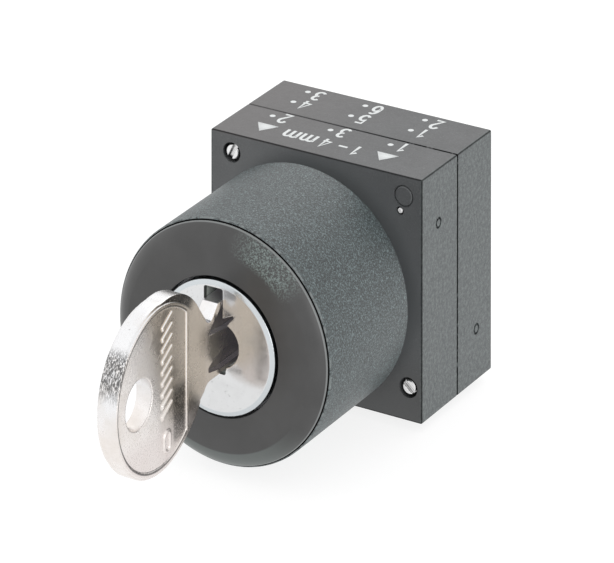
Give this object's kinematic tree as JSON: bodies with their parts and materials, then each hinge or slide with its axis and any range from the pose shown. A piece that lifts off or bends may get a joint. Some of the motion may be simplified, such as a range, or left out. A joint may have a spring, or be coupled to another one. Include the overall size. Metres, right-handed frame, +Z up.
{
  "type": "key-operated switch",
  "caption": "Key-operated panel switch: a round black lock head with its key in a polished lock face, on a square contact block that clips on behind the panel.",
  "frame": {"origin": "on the lock axis, at the contact block's front face, which faces the back of the panel", "axes": "+Z up, +Y from the operator's side towards the wiring side along the lock axis, +X to the operator's right"},
  "size_m": [0.03, 0.0718, 0.03],
  "materials": {
    "collar_moulding": "fine spark-eroded matte",
    "bezel_moulding": "satin",
    "block_moulding": "fine moulded matte",
    "seal_rubber": "matte",
    "sleeve_metal": "satin",
    "zinc_casting": "die cast",
    "plug_nickel": "polished nickel plate",
    "key_nickel_silver": "polished nickel silver, worn",
    "pin_brass": "turned",
    "pin_steel": "turned",
    "spring_steel": "drawn wire",
    "latch_steel": "zinc plated",
    "screw_steel": "zinc plated",
    "cam_plastic": "natural nylon",
    "plunger_plastic": "moulded",
    "contact_copper": "copper with silver tips",
    "terminal_brass": "tinned brass"
  },
  "bodies": {
    "switch_body": {"lock_collar": "collar_moulding", "front_bezel": "bezel_moulding", "bezel_seal": "seal_rubber", "panel_gasket": "seal_rubber", "mounting_sleeve": "sleeve_metal", "lock_housing": "zinc_casting", "stop_pin": "pin_steel", "chamber_cap": "pin_brass", "driver_pins": "pin_steel", "pin_springs": "spring_steel", "holder_front_housing": "block_moulding", "holder_rear_housing": "block_moulding", "housing_screws": "screw_steel", "locating_dowel": "pin_steel", "latch_springs": "spring_steel", "return_spring_1": "spring_steel", "return_spring_2": "spring_steel", "return_spring_3": "spring_steel", "terminal_1": "terminal_brass", "terminal_2": "terminal_brass", "terminal_3": "terminal_brass", "terminal_4": "terminal_brass", "terminal_5": "terminal_brass", "terminal_6": "terminal_brass"},
    "plug": {"lock_plug": "plug_nickel", "key_pins": "pin_brass", "plug_clip": "spring_steel", "drive_cam": "cam_plastic", "cam_screw": "screw_steel"},
    "key": {"key": "key_nickel_silver"},
    "latch": {"holder_latch": "latch_steel"},
    "contact_1": {"plunger_1": "plunger_plastic", "contact_bridge_1": "contact_copper"},
    "contact_2": {"plunger_2": "plunger_plastic", "contact_bridge_2": "contact_copper"},
    "contact_3": {"plunger_3": "plunger_plastic", "contact_bridge_3": "contact_copper"}
  },
  "joints": [
    {"name": "key_turn", "type": "hinge", "parent": "switch_body", "child": "plug", "pos_m": [0, 0, 0], "axis": [0, 1, 0], "range_deg": [0, 90]},
    {"name": "key_withdraw", "type": "slide", "parent": "plug", "child": "key", "axis": [0, -1, 0], "range_m": [0, 0.017]},
    {"name": "latch_release", "type": "slide", "parent": "switch_body", "child": "latch", "axis": [0, 0, -1], "range_m": [0, 0.0011], "deforming": ["latch_springs"]},
    {"name": "contact_travel_1", "type": "slide", "parent": "switch_body", "child": "contact_1", "axis": [0, 1, 0], "range_m": [0, 0.002], "deforming": ["return_spring_1"]},
    {"name": "contact_travel_2", "type": "slide", "parent": "switch_body", "child": "contact_2", "axis": [0, 1, 0], "range_m": [0, 0.002], "deforming": ["return_spring_2"]},
    {"name": "contact_travel_3", "type": "slide", "parent": "switch_body", "child": "contact_3", "axis": [0, 1, 0], "range_m": [0, 0.002], "deforming": ["return_spring_3"]}
  ],
  "couplings": [
    {"joint": "contact_travel_1", "follows": "key_turn", "m_per_rad": 0.0012732},
    {"joint": "contact_travel_2", "follows": "key_turn", "m_per_rad": 0.0012732},
    {"joint": "contact_travel_3", "follows": "key_turn", "m_per_rad": 0.0012732}
  ]
}
